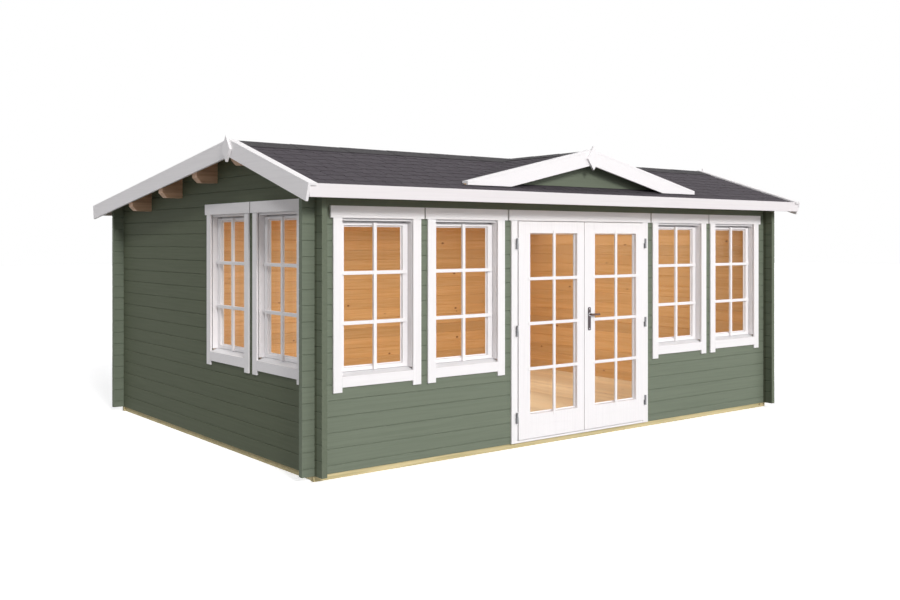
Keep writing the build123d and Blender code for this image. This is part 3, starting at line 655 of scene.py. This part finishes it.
dormer = None
for side in (-1, 1):
    strip = shingle_strip(RIDGE_Y - DORMER_BACK_OF_CAP, DORMER_HALF)
    # x along the eave becomes y, and y up the slope becomes the way in to the middle
    turn = Matrix(((0, -side, 0, side * DORMER_HALF), (1, 0, 0, DORMER_BACK_OF_CAP), (0, 0, 1, 0), (0, 0, 0, 1)))
    bmesh.ops.transform(strip, matrix=turn, verts=strip.verts)
    bmesh.ops.transform(strip, matrix=small_gable_slope(side, RIDGE_Z), verts=strip.verts)
    cut_along_the_main_roof(strip)
    spare = bpy.data.meshes.new("spare")
    strip.to_mesh(spare)
    strip.free()
    dormer = dormer or bmesh.new()
    dormer.from_mesh(spare)
    bpy.data.meshes.remove(spare)
make_piece("small_gable_shingles", dormer, [granules, bitumen_and_painted_shade], "cabin", ["dormer_roof_covering"])

# %% [markdown]
# ## Ridge caps
# Strips of shingle folded over the ridge close the roof. Each strip is a flat plate with a crease along its middle,
# made by cutting it with a plane. Its two halves then lean with the two slopes, and each strip laps the last one, so
# it is a little higher at one end. The fold over the small gable is the same thing turned a quarter.

# %% Fold the caps over the ridges
CAP_HALF = 0.167
CAP_LENGTH = 0.5
CAP_LOW, CAP_HIGH = 0.0078, 0.0125
CAP_LAP, CAP_STEP = 0.04, 0.002


def cap_strips(length):
    """Flat overlapping plates along x, centred on y = 0, each with a crease."""
    shape = bmesh.new()
    tone = shape.faces.layers.float.new("tab_tone")
    count = math.ceil(length / CAP_LENGTH)
    step = length / count
    for number in range(count):
        start = number * step
        stop = min(start + step + CAP_LAP, length)
        plate = block(shape, (start, -CAP_HALF, CAP_LOW), (stop, CAP_HALF, CAP_HIGH))
        lower = [v for v in plate if v.co.x > start + EDGE_ZONE and v.co.z > CAP_LOW + HAIR]
        bmesh.ops.translate(shape, vec=(0, 0, -CAP_STEP), verts=lower)
    bmesh.ops.bisect_plane(shape, geom=all_of(shape), dist=MERGE, plane_co=(0, 0, 0), plane_no=(0, 1, 0))
    for face in shape.faces:
        face.normal_update()
        face.material_index = 0 if face.normal.z > 0.5 else 1
        face[tone] = chance.random() * 0.3 + 0.35
    return shape


caps = cap_strips(2 * COVERING_EDGE)
bmesh.ops.translate(caps, vec=(-COVERING_EDGE, RIDGE_Y, 0), verts=caps.verts)
behind = [v for v in caps.verts if v.co.y > RIDGE_Y + HAIR]
ahead = [v for v in caps.verts if v.co.y <= RIDGE_Y + HAIR]
bmesh.ops.transform(caps, matrix=FRONT_SLOPE, verts=ahead)
bmesh.ops.transform(caps, matrix=REAR_SLOPE, verts=behind)
make_piece("ridge_caps", caps, [cap_granules, bitumen_and_painted_shade], "cabin")

small_caps = cap_strips(RIDGE_Y - DORMER_BACK_OF_CAP)
quarter_turned = Matrix.Translation((0, DORMER_BACK_OF_CAP, 0)) @ Matrix.Rotation(math.pi / 2, 4, "Z")
bmesh.ops.transform(small_caps, matrix=quarter_turned, verts=small_caps.verts)
for side in (-1, 1):
    bmesh.ops.transform(small_caps, matrix=small_gable_slope(side, 0.0),
                        verts=[v for v in small_caps.verts if v.co.x * side > HAIR])
bmesh.ops.translate(small_caps, vec=(0, 0, RIDGE_Z - HAIR), verts=small_caps.verts)
cut_along_the_main_roof(small_caps)
make_piece("small_gable_ridge_caps", small_caps, [cap_granules, bitumen_and_painted_shade], "cabin")

# %% [markdown]
# ## Glazing bars on the windows
# Each casement has a lattice that divides its pane in two across and three up. It is a separate frame of thin bars
# that clips on in front of the sash, so the bars' ends lap over it. The lattice is made once, on a window that stands
# at the origin and faces -Y, and then copied to the places of the six windows.

# %% Make the window lattices
BAR = 0.027
BAR_FACE = 0.031
PANE_HALF = 0.260
PANE_LOW, PANE_HIGH = 0.778, 1.810
SASH_LOW, SASH_HIGH = 0.750, 1.829
BAR_LAP = 0.023
UNDER = 0.0005  # the level bars' faces lie this much behind the upright ones
BAR_HEIGHTS = (1.101, 1.4635)
SASH_FACE, PANE_FACE = 0.051, 0.071
SIDE_RISE = 0.051  # the side windows stand this much higher
front_windows = [Matrix.Translation((x, -WALL_Y, 0)) for x in (-2.119, -1.283, 1.283, 2.119)]
side_windows = [Matrix.Translation((-WALL_X, y, SIDE_RISE)) @ Matrix.Rotation(-math.pi / 2, 4, "Z")
                for y in (-1.358, -0.522)]


def in_every_window(shape, finishes, name):
    """Copies a shape made at the origin to all six windows."""
    first = all_of(shape)
    for place in (front_windows + side_windows)[1:]:
        copy = bmesh.ops.duplicate(shape, geom=first)["geom"]
        bmesh.ops.transform(shape, matrix=place, verts=verts_among(copy))
    bmesh.ops.transform(shape, matrix=front_windows[0], verts=verts_among(first))
    make_piece(name, shape, finishes, "cabin")


lattice = bmesh.new()
block(lattice, (-BAR / 2, BAR_FACE, SASH_LOW), (BAR / 2, SASH_FACE, SASH_HIGH))
for height in BAR_HEIGHTS:
    block(lattice, (-PANE_HALF - BAR_LAP, BAR_FACE + UNDER, height - BAR / 2),
          (PANE_HALF + BAR_LAP, SASH_FACE, height + BAR / 2))
soften(lattice, lattice.edges[:], 0.002)
in_every_window(lattice, [white_upright], "window_lattices")

# %% [markdown]
# ## Beads round the panes
# A pane is held by thin beads pinned round its edge. They show as a white strip beside the glass, with a fine shadow
# where they meet the sash. Each bead is a block whose outer corner is planed off with a single-segment bevel.

# %% Make the window beads
BEAD_WIDTH, BEAD_DEPTH = 0.010, 0.004


def bead_ring(shape, x0, x1, z0, z1, y_glass, y_front, top=BEAD_WIDTH, gap=0.0012):
    """Four beads inside an opening, from the glass out to y_front. The one along the top may be narrower."""
    x0, x1, z0, z1 = x0 + gap, x1 - gap, z0 + gap, z1 - gap
    y0, y1 = min(y_glass, y_front), max(y_glass, y_front)
    made = block(shape, (x0, y0, z0), (x0 + BEAD_WIDTH, y1, z1))
    made += block(shape, (x1 - BEAD_WIDTH, y0, z0), (x1, y1, z1))
    made += block(shape, (x0 + BEAD_WIDTH, y0, z0), (x1 - BEAD_WIDTH, y1, z0 + BEAD_WIDTH))
    made += block(shape, (x0 + BEAD_WIDTH, y0, z1 - top), (x1 - BEAD_WIDTH, y1, z1))
    soften(shape, edges_of(made), 0.0015, 1)


beads = bmesh.new()
bead_ring(beads, -PANE_HALF, PANE_HALF, PANE_LOW, PANE_HIGH, PANE_FACE, PANE_FACE - BEAD_DEPTH)
in_every_window(beads, [white_upright], "window_beads")

# %% [markdown]
# ## Door leaves
# Each leaf is a joined frame: two stiles the full height, a top rail, and a foot built up from three boards. The
# solid model holds a leaf as one block with a hole, so a leaf is built again here from its members. The bevel on each
# one leaves the hairline joints that a real door shows.

# %% Build the door leaves
LEAF_FRONT, LEAF_BACK = -1.922, -1.878
LEAF_LOW, LEAF_HIGH = 0.068, 1.855
DOOR_PANE_LOW, DOOR_PANE_HIGH = 0.266, 1.759
FOOT_JOINTS = (0.099, 0.176)
door_panes = {"left": (-0.629, -0.086), "right": (0.130, 0.658)}
door_edges = {"left": (-0.755, -0.003), "right": (0.003, 0.755)}


def door_leaf(side):
    shape = bmesh.new()
    (edge0, edge1), (pane0, pane1) = door_edges[side], door_panes[side]
    spans = [((edge0, LEAF_LOW), (pane0, LEAF_HIGH)), ((pane1, LEAF_LOW), (edge1, LEAF_HIGH)),
             ((pane0, DOOR_PANE_HIGH), (pane1, LEAF_HIGH))]
    heights = (LEAF_LOW, *FOOT_JOINTS, DOOR_PANE_LOW)
    spans += [((pane0, low), (pane1, high)) for low, high in zip(heights, heights[1:])]
    for (x0, z0), (x1, z1) in spans:
        block(shape, (x0, LEAF_FRONT, z0), (x1, LEAF_BACK, z1))
    soften(shape, shape.edges[:], 0.0013)
    make_piece(f"{side}_door_joinery", shape, [white_upright], f"{side}_leaf", [f"{side}_door_leaf"])


door_leaf("left")
door_leaf("right")

# %% [markdown]
# ## Bars and beads on the doors
# The doors' lattices divide each pane in two across and four up. Their ends are let into the face of the leaf, so
# they stand only a little proud of it. The pane sits deep in the leaf, with flat beads on both of its faces.

# %% Make the door lattices and beads
DOOR_BAR = 0.026
DOOR_BAR_HEIGHTS = (0.6425, 1.0145, 1.3835)
DOOR_GLASS = (-1.891, -1.885)
DOOR_BAR_FRONT, DOOR_BAR_BACK = -1.927, -1.913
DOOR_BAR_LAP = 0.024
DOOR_BEAD_TOP, DOOR_BEAD_GAP = 0.005, 0.003
for side, (pane0, pane1) in door_panes.items():
    shape = bmesh.new()
    middle = (pane0 + pane1) / 2
    block(shape, (middle - DOOR_BAR / 2, DOOR_BAR_FRONT, DOOR_PANE_LOW - DOOR_BAR_LAP),
          (middle + DOOR_BAR / 2, DOOR_BAR_BACK, DOOR_PANE_HIGH + DOOR_BAR_LAP))
    for height in DOOR_BAR_HEIGHTS:
        block(shape, (pane0 - DOOR_BAR_LAP, DOOR_BAR_FRONT + UNDER, height - DOOR_BAR / 2),
              (pane1 + DOOR_BAR_LAP, DOOR_BAR_BACK, height + DOOR_BAR / 2))
    soften(shape, shape.edges[:], 0.0015)
    make_piece(f"{side}_door_lattice", shape, [white_upright], f"{side}_leaf")
    shape = bmesh.new()
    for surface, out in zip(DOOR_GLASS, (-1, 1)):
        bead_ring(shape, pane0, pane1, DOOR_PANE_LOW, DOOR_PANE_HIGH, surface, surface + out * BEAD_DEPTH,
                  DOOR_BEAD_TOP, DOOR_BEAD_GAP)
    make_piece(f"{side}_door_beads", shape, [white_upright], f"{side}_leaf")

# %% [markdown]
# ## Door handle
# A long plate with rounded corners carries the lever on a small round rose, and has a keyhole below. The plate is a
# block whose four upright corners are bevelled widely before its face is eased. The keyhole is painted shade: a dark
# shape that stands a hair proud of the plate and reads as the shade inside a hole, which saves cutting one. The lever
# is a round neck and a flattened bar: a cylinder lies along the bar and is scaled thinner, and its end is rounded
# off.

# %% Make the handle
HANDLE_X, SPINDLE_Z, SPINDLE_RADIUS = 0.059, 1.060, 0.0055
PLATE_LOW, PLATE_HIGH, PLATE_HALF, PLATE_THICK, PLATE_CORNER = 0.922, 1.122, 0.0165, 0.005, 0.010
SCREW_FROM_END, SCREW_RADIUS, SCREW_PROUD = 0.014, 0.0045, 0.0015
ROSE_RADIUS, ROSE_THICK = 0.0155, 0.006
KEYHOLE_Z, KEYHOLE_RADIUS, KEYHOLE_PROUD = 0.984, 0.005, 0.0004
KEY_SLOT_LOW, KEY_SLOT_HALF = 0.966, 0.002
GRIP_REACH, NECK_RADIUS = 0.036, 0.0095
GRIP_START, GRIP_END, GRIP_RADIUS, GRIP_FLATNESS = -0.010, 0.089, 0.009, 0.66
SHARP = 1.0  # in radians: edges that turn by more than this are eased


def rod(shape, start, stop, radius, segments=24):
    """A closed cylinder between two points."""
    start, stop = Vector(start), Vector(stop)
    run = stop - start
    place = Matrix.Translation((start + stop) / 2) @ run.to_track_quat("Z", "Y").to_matrix().to_4x4()
    return bmesh.ops.create_cone(shape, cap_ends=True, segments=segments, radius1=radius, radius2=radius,
                                 depth=run.length, matrix=place)["verts"]


def sharp_edges(shape):
    return [e for e in shape.edges if e.calc_face_angle(0) > SHARP]


plates, roses, keyholes, lever = bmesh.new(), bmesh.new(), bmesh.new(), bmesh.new()
for face, out in ((LEAF_FRONT, -1), (LEAF_BACK, 1)):
    surface = face + out * PLATE_THICK
    y0, y1 = sorted((face, surface))
    plate = block(plates, (HANDLE_X - PLATE_HALF, y0, PLATE_LOW), (HANDLE_X + PLATE_HALF, y1, PLATE_HIGH))
    corners = [e for e in edges_of(plate) if abs(e.verts[0].co.y - e.verts[1].co.y) > HAIR]
    soften(plates, corners, PLATE_CORNER, 5)
    for height in (PLATE_LOW + SCREW_FROM_END, PLATE_HIGH - SCREW_FROM_END):
        rod(roses, (HANDLE_X, surface, height), (HANDLE_X, surface + out * SCREW_PROUD, height), SCREW_RADIUS, 16)
    rose_top = surface + out * ROSE_THICK
    rod(roses, (HANDLE_X, surface, SPINDLE_Z), (HANDLE_X, rose_top, SPINDLE_Z), ROSE_RADIUS, 32)
    # Painted shade: a dark disc and slot, a hair proud of the plate, stand for the shade inside the keyhole.
    hole_top = surface + out * KEYHOLE_PROUD
    rod(keyholes, (HANDLE_X, surface, KEYHOLE_Z), (HANDLE_X, hole_top, KEYHOLE_Z), KEYHOLE_RADIUS, 20)
    block(keyholes, (HANDLE_X - KEY_SLOT_HALF, min(surface, hole_top), KEY_SLOT_LOW),
          (HANDLE_X + KEY_SLOT_HALF, max(surface, hole_top), KEYHOLE_Z))
    grip = face + out * (PLATE_THICK + GRIP_REACH)
    rod(lever, (HANDLE_X, rose_top, SPINDLE_Z), (HANDLE_X, grip, SPINDLE_Z), NECK_RADIUS)
    bar = rod(lever, (HANDLE_X + GRIP_START, grip, SPINDLE_Z), (HANDLE_X + GRIP_END, grip, SPINDLE_Z), GRIP_RADIUS)
    bmesh.ops.scale(lever, vec=(1, GRIP_FLATNESS, 1), space=Matrix.Translation((0, -grip, 0)), verts=bar)
soften(plates, sharp_edges(plates), 0.001)
soften(roses, sharp_edges(roses), 0.001)
soften(lever, sharp_edges(lever), 0.004, 4)
out_to_rose = PLATE_THICK + ROSE_THICK
rod(lever, (HANDLE_X, LEAF_FRONT - out_to_rose, SPINDLE_Z), (HANDLE_X, LEAF_BACK + out_to_rose, SPINDLE_Z),
    SPINDLE_RADIUS, 16)
make_piece("door_handle_plate", plates, [dark_plate], "right_leaf", ["door_handle_plates"])
make_piece("door_handle_roses", roses, [steel], "right_leaf")
# The keyholes' black finish is painted shade.
make_piece("door_keyhole_shades", keyholes, [bitumen_and_painted_shade], "right_leaf")
make_piece("door_lever", lever, [bronze], "lever", ["door_lever_handle"])

# %% [markdown]
# ## Easing the sharp edges
# The carried-over parts have perfectly sharp edges. A Weld modifier joins their loose triangles and a Bevel modifier
# rounds only the sharp edges, by angle, so flat faces are left alone. Both stay live and leave the solid parts'
# own vertices untouched.

# %% Ease the edges of the painted boards
EASE, WELD_GAP = 0.002, 0.00005
eased = ["barge_boards", "barge_caps", "eave_fascias", "finials", "head_boards", "window_side_trims", "window_aprons",
         "window_jambs", "window_sashes", "door_frame_posts", "door_threshold", "foundation_beams"]
for name in eased:
    weld = parts[name].modifiers.new("join_triangles", "WELD")
    weld.merge_threshold = WELD_GAP
    ease = parts[name].modifiers.new("ease_edges", "BEVEL")
    ease.width = EASE
    ease.segments = 2
    ease.limit_method = "ANGLE"
    ease.angle_limit = math.radians(40)
print("eased:", len(eased), "parts")

# %% [markdown]
# ## The studio
# The cabin stands on a pale floor before a white background. The floor takes the cabin's shadow. What the camera
# and reflections see of the floor and of the world is lifted to white with Light Path, which adds no light to the
# cabin itself. The floor is part of the stage and not of the object.

# %% Lay the studio floor
FLOOR_SIZE = 60.0
FLOOR_GREY = 0.27  # the floor that throws light on the cabin
FLOOR_LIFT = 0.5  # raises the floor that is seen to white
ground = bmesh.new()
bmesh.ops.create_grid(ground, x_segments=1, y_segments=1, size=FLOOR_SIZE)
ground_mesh = bpy.data.meshes.new("studio_floor")
ground.to_mesh(ground_mesh)
ground.free()
studio_floor = bpy.data.objects.new("studio_floor", ground_mesh)
scene.collection.objects.link(studio_floor)


def seen_directly(tree):
    """1 for what the camera, a reflection or glass shows, and 0 for light that falls on something else."""
    rays = tree.nodes.new("ShaderNodeLightPath")
    total = None
    for name in ("Is Camera Ray", "Is Glossy Ray", "Is Transmission Ray"):
        if total is None:
            total = rays.outputs[name]
            continue
        larger = tree.nodes.new("ShaderNodeMath")
        larger.operation = "MAXIMUM"
        tree.links.new(total, larger.inputs[0])
        tree.links.new(rays.outputs[name], larger.inputs[1])
        total = larger.outputs[0]
    return total


floor_finish, floor_light = start_finish("pale_floor", 0.9)
floor_light.inputs["Base Color"].default_value = (FLOOR_GREY, FLOOR_GREY, FLOOR_GREY, 1)
floor_light.inputs["Specular IOR Level"].default_value = 0.0
floor_seen = add_node(floor_finish, "ShaderNodeBsdfPrincipled")
floor_seen.inputs["Base Color"].default_value = (1, 1, 1, 1)
floor_seen.inputs["Roughness"].default_value = 0.9
floor_seen.inputs["Specular IOR Level"].default_value = 0.0
floor_seen.inputs["Emission Color"].default_value = (1, 1, 1, 1)
floor_seen.inputs["Emission Strength"].default_value = FLOOR_LIFT
floor_mix = add_node(floor_finish, "ShaderNodeMixShader")
feed(floor_finish, floor_mix.inputs["Fac"], seen_directly(floor_finish.node_tree))
feed(floor_finish, floor_mix.inputs[1], floor_light.outputs[0])
feed(floor_finish, floor_mix.inputs[2], floor_seen.outputs[0])
feed(floor_finish, floor_finish.node_tree.nodes["Material Output"].inputs["Surface"], floor_mix.outputs[0])
ground_mesh.materials.append(floor_finish)
print("floor", 2 * FLOOR_SIZE, "m wide")

# %% [markdown]
# ## Light
# One soft sun stands low in front of the cabin and a little to the left, so the front is bright and the eaves throw
# soft shadows. A second one stands high on the left: it lights the side wall and leaves the part under the overhang
# in shade. A broad low fill on the right opens up the shadows under the eave, and a faint sun behind shows the back
# in other views. The sky is brighter low down than overhead, which lights walls more than roofs. A soft lamp below
# the roof lifts the bare wood inside, which is seen through the panes and the open door.

# %% Set the world and the lamps
world = bpy.data.worlds.new("white_studio")
scene.world = world
world.use_nodes = True
tree = world.node_tree
HORIZON, ZENITH = 0.72, 0.05
BRIGHT_BELOW, DIM_ABOVE = 0.2, 0.55  # heights on a sphere of radius 1
height = add_node(world, "ShaderNodeSeparateXYZ")
feed(world, height.inputs[0], add_node(world, "ShaderNodeTexCoord").outputs["Generated"])
low_sky = fade(world, height.outputs[Z], DIM_ABOVE, BRIGHT_BELOW)
ambient = tree.nodes["Background"]
feed(world, ambient.inputs["Color"], mix_colours(world, low_sky, (0.95, 0.955, 1.0, 1), (0.97, 0.97, 1.0, 1)))
feed(world, ambient.inputs["Strength"], arithmetic(world, "MULTIPLY_ADD", low_sky, HORIZON - ZENITH, ZENITH))
backdrop = tree.nodes.new("ShaderNodeBackground")
backdrop.inputs["Color"].default_value = (1, 1, 1, 1)
backdrop.inputs["Strength"].default_value = 1.0
world_mix = tree.nodes.new("ShaderNodeMixShader")
tree.links.new(seen_directly(tree), world_mix.inputs["Fac"])
tree.links.new(ambient.outputs[0], world_mix.inputs[1])
tree.links.new(backdrop.outputs[0], world_mix.inputs[2])
tree.links.new(world_mix.outputs[0], tree.nodes["World Output"].inputs["Surface"])


def sun(name, strength, softness, turn, colour=(1, 1, 1)):
    lamp = bpy.data.lights.new(name, "SUN")
    lamp.energy = strength
    lamp.angle = math.radians(softness)
    lamp.color = colour
    made = bpy.data.objects.new(name, lamp)
    made.rotation_euler = [math.radians(a) for a in turn]
    scene.collection.objects.link(made)


sun("front_sun", 1.87, 12, (65.3, 0, -10), (1.0, 0.985, 0.98))
sun("high_left_sun", 0.90, 12, (35, 0, -95))
sun("low_fill", 1.40, 70, (78, 0, 30))
sun("rear_fill", 0.30, 40, (55, 0, 135))


def ceiling_lamp(name, power, width, depth, place):
    """A soft lamp that shines down into the room and isn't seen itself."""
    lamp = bpy.data.lights.new(name, "AREA")
    lamp.shape = "RECTANGLE"
    lamp.size, lamp.size_y = width, depth
    lamp.energy = power
    made = bpy.data.objects.new(name, lamp)
    made.location = place
    made.visible_camera = False
    made.visible_glossy = False
    made.visible_transmission = False
    scene.collection.objects.link(made)


ceiling_lamp("room_lamp", 45, 5.0, 2.8, (0, 0, 1.95))

# %% [markdown]
# ## Camera
# The camera stands level at eye height, left of the front corner, and looks at the corner between the front and the
# left side. Because it stays level, uprights stay upright. A small shift puts the cabin in the frame without a tilt.

# %% Place the camera
EYE = (-6.216965, -8.046717, 1.699193)
TURNED_RIGHT = math.radians(37.807)
lens = bpy.data.cameras.new("eye_level")
lens.lens = 40.17
lens.sensor_width = 36.0
lens.shift_y = -0.0662
lens.clip_end = 300.0
camera = bpy.data.objects.new("eye_level", lens)
camera.location = EYE
camera.rotation_euler = (math.pi / 2, 0, -TURNED_RIGHT)
scene.collection.objects.link(camera)
scene.camera = camera
scene.view_settings.view_transform = "Standard"
print("camera", round(math.hypot(camera.location.x, camera.location.y), 2), "m from the middle of the cabin")
